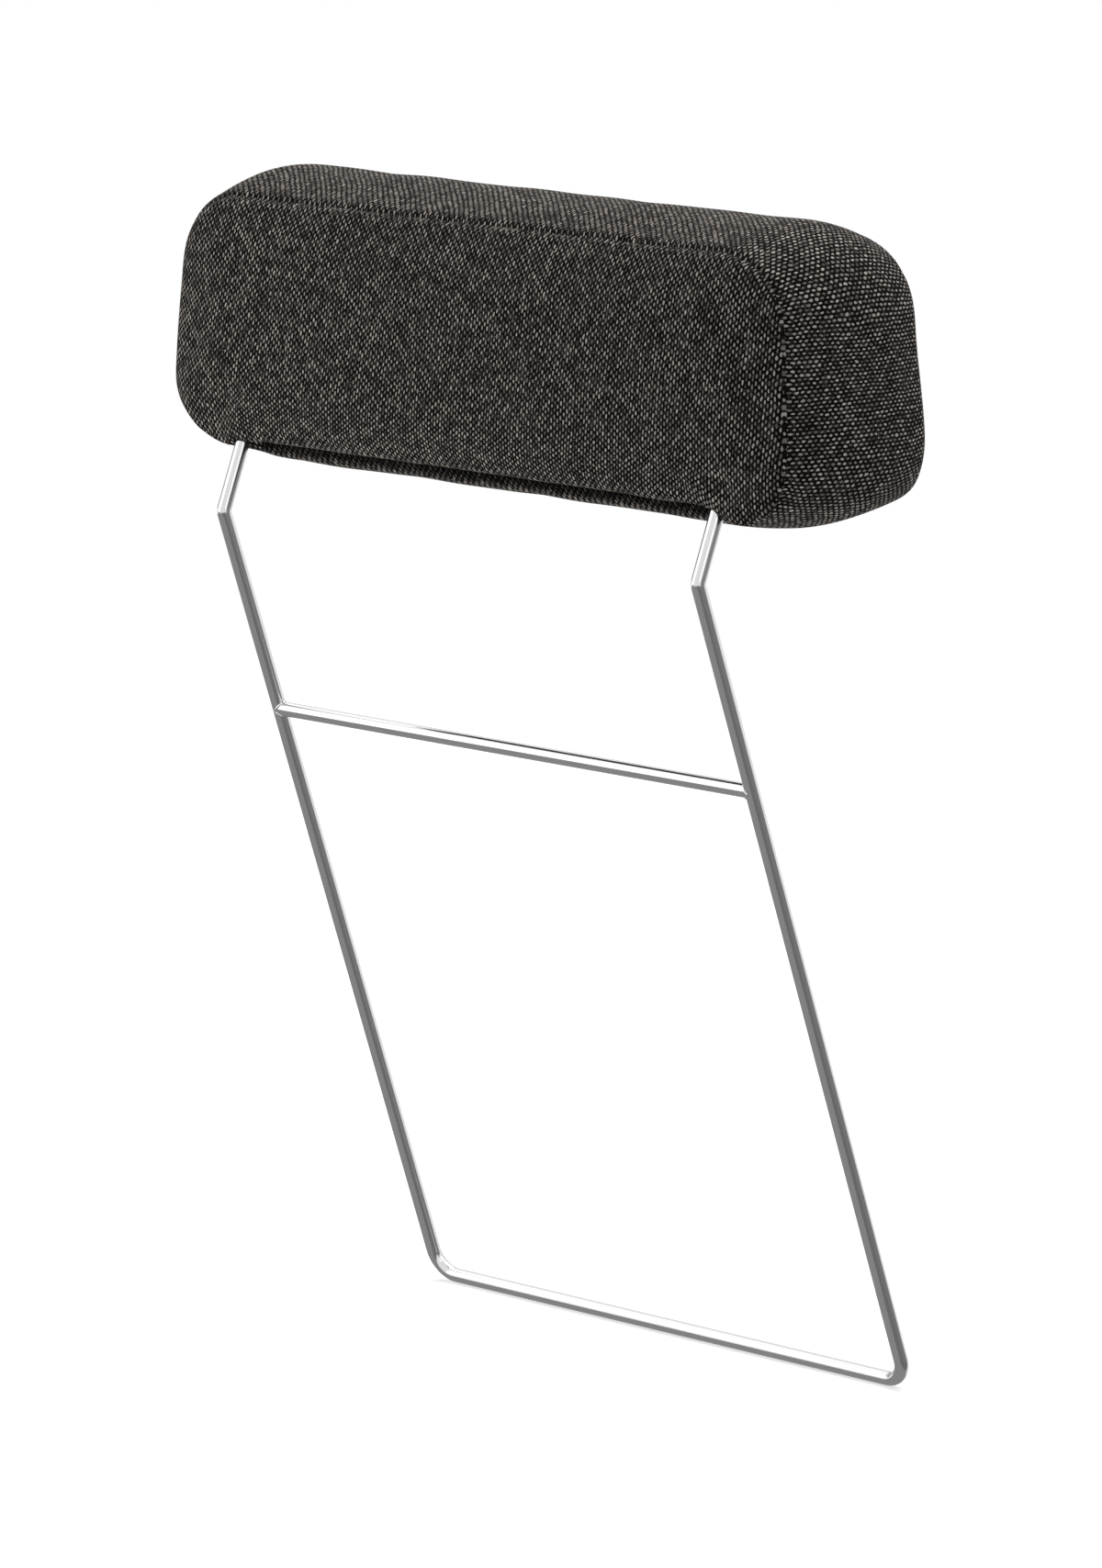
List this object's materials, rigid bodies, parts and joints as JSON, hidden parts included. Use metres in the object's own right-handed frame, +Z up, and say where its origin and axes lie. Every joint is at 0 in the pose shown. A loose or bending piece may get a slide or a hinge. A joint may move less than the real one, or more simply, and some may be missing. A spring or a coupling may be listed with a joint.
{
  "type": "plug-in sofa headrest",
  "caption": "Upholstered headrest cushion on a bent steel rod frame that pushes down behind the seat's back cushion.",
  "frame": {"origin": "middle of the bottom bar, on the rod's axis", "axes": "+X along the bars, +Y to the side where the head rests, +Z up the frame to the cushion"},
  "size_m": [0.606, 0.2077, 0.7906],
  "materials": {
    "polished_steel": "polished, clear bright steel",
    "woven_charcoal": "coarse mixed weave, black ground with grey and sand yarns, matt",
    "foam": "open-cell foam, matt",
    "plywood": "sanded birch plywood",
    "zinc_steel": "zinc plated, dull",
    "black_tape": "hook and loop tape, matt"
  },
  "bodies": {
    "root": {"wire_frame": "polished_steel", "cross_bar": "polished_steel", "stiffener_board": "plywood", "saddle_1": "zinc_steel", "saddle_2": "zinc_steel", "saddle_3": "zinc_steel", "saddle_4": "zinc_steel", "screw_1": "zinc_steel", "screw_2": "zinc_steel", "screw_3": "zinc_steel", "screw_4": "zinc_steel", "screw_5": "zinc_steel", "screw_6": "zinc_steel", "screw_7": "zinc_steel", "screw_8": "zinc_steel", "foam_back": "foam", "foam_front": "foam", "cover_back": "woven_charcoal", "cover_band": "woven_charcoal", "cover_front": "woven_charcoal", "loop_tape": "black_tape", "hook_tape": "black_tape"}
  },
  "joints": []
}
